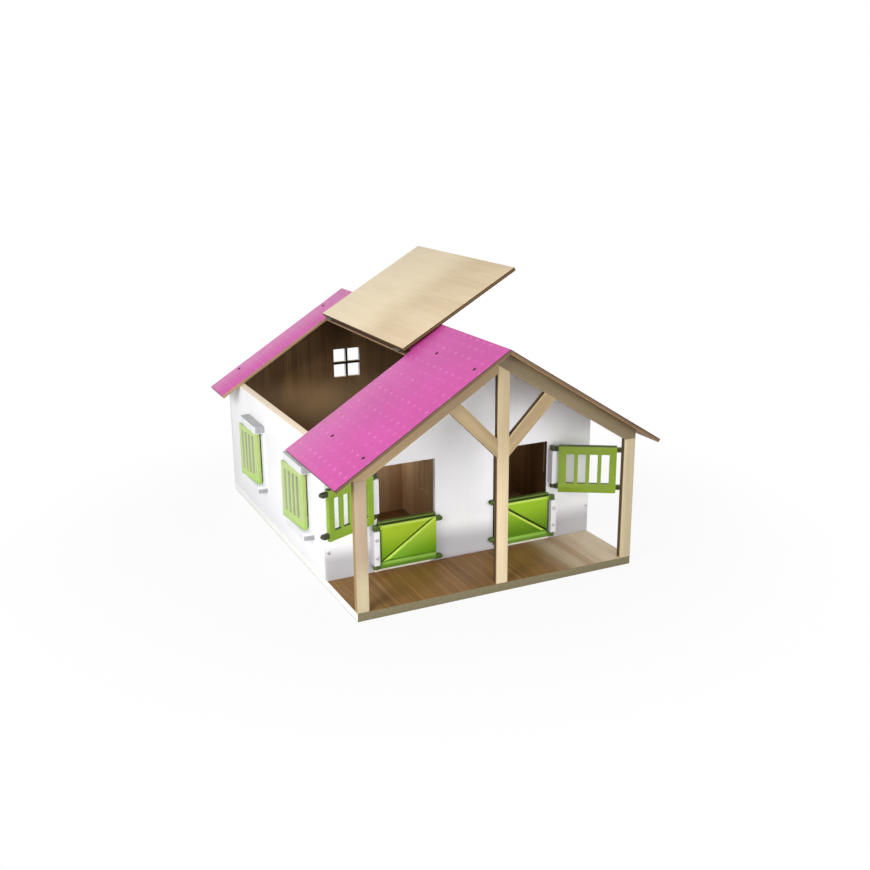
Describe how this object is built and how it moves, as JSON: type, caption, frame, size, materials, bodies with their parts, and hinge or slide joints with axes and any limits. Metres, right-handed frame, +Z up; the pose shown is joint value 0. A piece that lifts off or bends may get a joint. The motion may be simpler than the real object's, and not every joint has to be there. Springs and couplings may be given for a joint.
{
  "type": "toy barn with opening doors",
  "caption": "Toy barn with a pink gabled roof, lift-up roof flap, open porch with braced posts, split stable doors and slotted side shutters.",
  "frame": {"origin": "on the ground under the middle of the roof's outline: halfway between the two eaves in X and between the roof's front and back edges in Y, at the height of the floor board's underside", "axes": "+Z up; -Y is the porch side with the doors; +X is to the right for someone looking at the doors"},
  "size_m": [0.405, 0.5, 0.3454],
  "materials": {
    "pink_painted_wood": "satin pink paint on the outer face, bare wood on edges and underside",
    "white_painted_wood": "satin white paint outside, bare brown wood inside",
    "brown_wood": "matte brown wood with grain along Y",
    "pale_wood": "planed pale wood",
    "green_plastic": "moulded lime green plastic",
    "white_plastic": "moulded white plastic",
    "hinge_steel": "zinc plated sheet",
    "screw_steel": "zinc plated"
  },
  "bodies": {
    "barn": {"floor_board": "brown_wood", "front_wall": "white_painted_wood", "back_wall": "white_painted_wood", "left_wall": "white_painted_wood", "right_wall": "white_painted_wood", "stall_back_wall": "brown_wood", "stall_divider": "pale_wood", "roof_left": "pink_painted_wood", "roof_right": "pink_painted_wood", "back_batten_left": "pale_wood", "back_batten_right": "pale_wood", "post_left": "pale_wood", "post_middle": "pale_wood", "post_right": "pale_wood", "rafter_left": "pale_wood", "rafter_right": "pale_wood", "brace_left": "pale_wood", "brace_right": "pale_wood", "flap_hinge_fixed_front": "hinge_steel", "flap_hinge_fixed_back": "hinge_steel", "flap_hinge_rod_front": "hinge_steel", "flap_hinge_rod_back": "hinge_steel", "flap_hinge_fixed_screws": "screw_steel", "lower_hinge_post_left": "white_plastic", "lower_hinge_post_right": "white_plastic", "upper_hinge_post_left": "white_plastic", "upper_hinge_post_right": "white_plastic", "lower_post_screws": "screw_steel", "upper_post_screws": "screw_steel", "window_frame_left_front": "white_plastic", "window_frame_left_back": "white_plastic", "window_frame_right_front": "white_plastic", "window_frame_right_back": "white_plastic", "roof_screws_left": "screw_steel", "roof_screws_right": "screw_steel", "front_wall_screws": "screw_steel", "back_wall_screws": "screw_steel"},
    "flap": {"roof_flap": "pink_painted_wood", "flap_hinge_moving_front": "hinge_steel", "flap_hinge_moving_back": "hinge_steel", "flap_hinge_moving_screws": "screw_steel"},
    "lower_left_door": {"lower_door_left": "green_plastic"},
    "lower_right_door": {"lower_door_right": "green_plastic"},
    "upper_left_door": {"upper_door_left": "green_plastic"},
    "upper_right_door": {"upper_door_right": "green_plastic"},
    "left_front_shutter": {"shutter_left_front": "green_plastic"},
    "left_back_shutter": {"shutter_left_back": "green_plastic"},
    "right_front_shutter": {"shutter_right_front": "green_plastic"},
    "right_back_shutter": {"shutter_right_back": "green_plastic"}
  },
  "joints": [
    {"name": "flap_hinge", "type": "hinge", "parent": "barn", "child": "flap", "pos_m": [-0.05068, 0, 0.25381], "axis": [0, -1, 0], "range_deg": [0, 181.7]},
    {"name": "lower_left_door_hinge", "type": "hinge", "parent": "barn", "child": "lower_left_door", "pos_m": [-0.1186, -0.1502, 0.043], "axis": [0, 0, -1], "range_deg": [0, 165]},
    {"name": "lower_right_door_hinge", "type": "hinge", "parent": "barn", "child": "lower_right_door", "pos_m": [0.1186, -0.1502, 0.043], "axis": [0, 0, 1], "range_deg": [0, 165]},
    {"name": "upper_left_door_hinge", "type": "hinge", "parent": "barn", "child": "upper_left_door", "pos_m": [-0.1186, -0.1502, 0.106], "axis": [0, 0, 1], "range_deg": [-9, 156]},
    {"name": "upper_right_door_hinge", "type": "hinge", "parent": "barn", "child": "upper_right_door", "pos_m": [0.1186, -0.1502, 0.106], "axis": [0, 0, -1], "range_deg": [-16, 149]},
    {"name": "left_front_shutter_hinge", "type": "hinge", "parent": "barn", "child": "left_front_shutter", "pos_m": [-0.183, -0.091, 0.0927], "axis": [0, 0, 1], "range_deg": [-6.8, 160]},
    {"name": "left_back_shutter_hinge", "type": "hinge", "parent": "barn", "child": "left_back_shutter", "pos_m": [-0.183, 0.093, 0.0927], "axis": [0, 0, 1], "range_deg": [-6.8, 160]},
    {"name": "right_front_shutter_hinge", "type": "hinge", "parent": "barn", "child": "right_front_shutter", "pos_m": [0.183, -0.091, 0.0927], "axis": [0, 0, -1], "range_deg": [-6.8, 160]},
    {"name": "right_back_shutter_hinge", "type": "hinge", "parent": "barn", "child": "right_back_shutter", "pos_m": [0.183, 0.093, 0.0927], "axis": [0, 0, -1], "range_deg": [-6.8, 160]}
  ]
}
